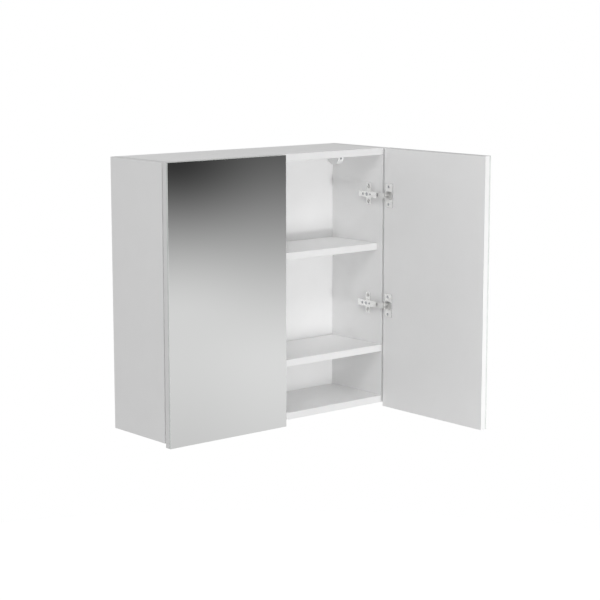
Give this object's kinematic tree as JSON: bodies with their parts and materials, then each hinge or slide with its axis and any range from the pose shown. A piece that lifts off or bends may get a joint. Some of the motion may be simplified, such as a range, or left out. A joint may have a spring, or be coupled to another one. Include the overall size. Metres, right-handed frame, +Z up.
{
  "type": "mirror cabinet",
  "caption": "Frameless mirrored wall cabinet with white board carcass, fixed and loose shelves, overhanging mirror doors on concealed cup hinges and adjustable rear wall hangers.",
  "frame": {"origin": "middle of the top panel's rear edge, on the wall plane, halfway through the panel's thickness", "axes": "+X to the right when one faces the mirrors, +Y into the wall, so that -Y is the front, +Z up"},
  "size_m": [0.601, 0.4803, 0.568],
  "materials": {
    "white_board": "white melamine-faced board, satin",
    "back_board": "thin white lacquered hardboard, satin",
    "mirror": "silvered glass with polished edges",
    "white_plastic": "moulded, satin",
    "hinge_steel": "nickel-plated pressed steel, satin",
    "link_steel": "nickel-plated pressed steel, darker satin",
    "pin_steel": "bright drawn steel",
    "zinc_plated_steel": "bright zinc plating",
    "die_cast_zinc": "plain die-cast zinc",
    "beech": "plain fluted beech"
  },
  "bodies": {
    "cabinet": {"left_side_panel": "white_board", "right_side_panel": "white_board", "top_panel": "white_board", "bottom_panel": "white_board", "back_panel": "back_board", "fixed_shelf": "white_board", "loose_shelf": "white_board", "shelf_pins": "zinc_plated_steel", "dowels": "beech", "cam_bolts": "zinc_plated_steel", "cam_discs": "die_cast_zinc", "left_hanger_housing": "white_plastic", "right_hanger_housing": "white_plastic", "left_hanger_hook": "zinc_plated_steel", "right_hanger_hook": "zinc_plated_steel", "hanger_screws": "zinc_plated_steel", "left_upper_mounting_plate": "hinge_steel", "left_lower_mounting_plate": "hinge_steel", "right_upper_mounting_plate": "hinge_steel", "right_lower_mounting_plate": "hinge_steel", "left_upper_hinge_arm": "hinge_steel", "left_lower_hinge_arm": "hinge_steel", "right_upper_hinge_arm": "hinge_steel", "right_lower_hinge_arm": "hinge_steel", "plate_screws": "zinc_plated_steel", "arm_screws": "zinc_plated_steel", "arm_pins": "pin_steel"},
    "left_door": {"left_door_board": "white_board", "left_door_mirror": "mirror", "left_upper_hinge_cup": "hinge_steel", "left_lower_hinge_cup": "hinge_steel", "left_cup_screws": "zinc_plated_steel", "left_cup_pins": "pin_steel"},
    "right_door": {"right_door_board": "white_board", "right_door_mirror": "mirror", "right_upper_hinge_cup": "hinge_steel", "right_lower_hinge_cup": "hinge_steel", "right_cup_screws": "zinc_plated_steel", "right_cup_pins": "pin_steel"},
    "left_upper_outer_link_body": {"left_upper_outer_link": "link_steel"},
    "left_upper_inner_link_body": {"left_upper_inner_link": "link_steel"},
    "left_lower_outer_link_body": {"left_lower_outer_link": "link_steel"},
    "left_lower_inner_link_body": {"left_lower_inner_link": "link_steel"},
    "right_upper_outer_link_body": {"right_upper_outer_link": "link_steel"},
    "right_upper_inner_link_body": {"right_upper_inner_link": "link_steel"},
    "right_lower_outer_link_body": {"right_lower_outer_link": "link_steel"},
    "right_lower_inner_link_body": {"right_lower_inner_link": "link_steel"}
  },
  "joints": [
    {"name": "right_door_swing", "type": "hinge", "parent": "cabinet", "child": "right_door", "pos_m": [0.294, -0.1875, -0.2765], "axis": [0, 0, 1], "range_deg": [-90, 5]},
    {"name": "left_door_swing", "type": "hinge", "parent": "cabinet", "child": "left_door", "pos_m": [-0.294, -0.1875, -0.2765], "axis": [0, 0, -1], "range_deg": [0, 95]},
    {"name": "right_upper_outer_link_turn", "type": "hinge", "parent": "cabinet", "child": "right_upper_outer_link_body", "pos_m": [0.276, -0.1695, -0.0945], "axis": [0, 0, 1], "range_deg": [-0.62, 11.15]},
    {"name": "right_upper_inner_link_turn", "type": "hinge", "parent": "cabinet", "child": "right_upper_inner_link_body", "pos_m": [0.281, -0.1745, -0.0945], "axis": [0, 0, 1], "range_deg": [-0.21, 3.64]},
    {"name": "right_lower_outer_link_turn", "type": "hinge", "parent": "cabinet", "child": "right_lower_outer_link_body", "pos_m": [0.276, -0.1695, -0.3345], "axis": [0, 0, 1], "range_deg": [-0.62, 11.15]},
    {"name": "right_lower_inner_link_turn", "type": "hinge", "parent": "cabinet", "child": "right_lower_inner_link_body", "pos_m": [0.281, -0.1745, -0.3345], "axis": [0, 0, 1], "range_deg": [-0.21, 3.64]},
    {"name": "left_upper_outer_link_turn", "type": "hinge", "parent": "cabinet", "child": "left_upper_outer_link_body", "pos_m": [-0.276, -0.1695, -0.0945], "axis": [0, 0, -1], "range_deg": [-11.77, 0]},
    {"name": "left_upper_inner_link_turn", "type": "hinge", "parent": "cabinet", "child": "left_upper_inner_link_body", "pos_m": [-0.281, -0.1745, -0.0945], "axis": [0, 0, -1], "range_deg": [-3.84, 0]},
    {"name": "left_lower_outer_link_turn", "type": "hinge", "parent": "cabinet", "child": "left_lower_outer_link_body", "pos_m": [-0.276, -0.1695, -0.3345], "axis": [0, 0, -1], "range_deg": [-11.77, 0]},
    {"name": "left_lower_inner_link_turn", "type": "hinge", "parent": "cabinet", "child": "left_lower_inner_link_body", "pos_m": [-0.281, -0.1745, -0.3345], "axis": [0, 0, -1], "range_deg": [-3.84, 0]}
  ],
  "couplings": [
    {"joint": "right_upper_outer_link_turn", "follows": "right_door_swing", "ratio": -0.12383},
    {"joint": "right_upper_inner_link_turn", "follows": "right_door_swing", "ratio": -0.040407},
    {"joint": "right_lower_outer_link_turn", "follows": "right_door_swing", "ratio": -0.12383},
    {"joint": "right_lower_inner_link_turn", "follows": "right_door_swing", "ratio": -0.040407},
    {"joint": "left_upper_outer_link_turn", "follows": "left_door_swing", "ratio": -0.12383},
    {"joint": "left_upper_inner_link_turn", "follows": "left_door_swing", "ratio": -0.040407},
    {"joint": "left_lower_outer_link_turn", "follows": "left_door_swing", "ratio": -0.12383},
    {"joint": "left_lower_inner_link_turn", "follows": "left_door_swing", "ratio": -0.040407}
  ]
}
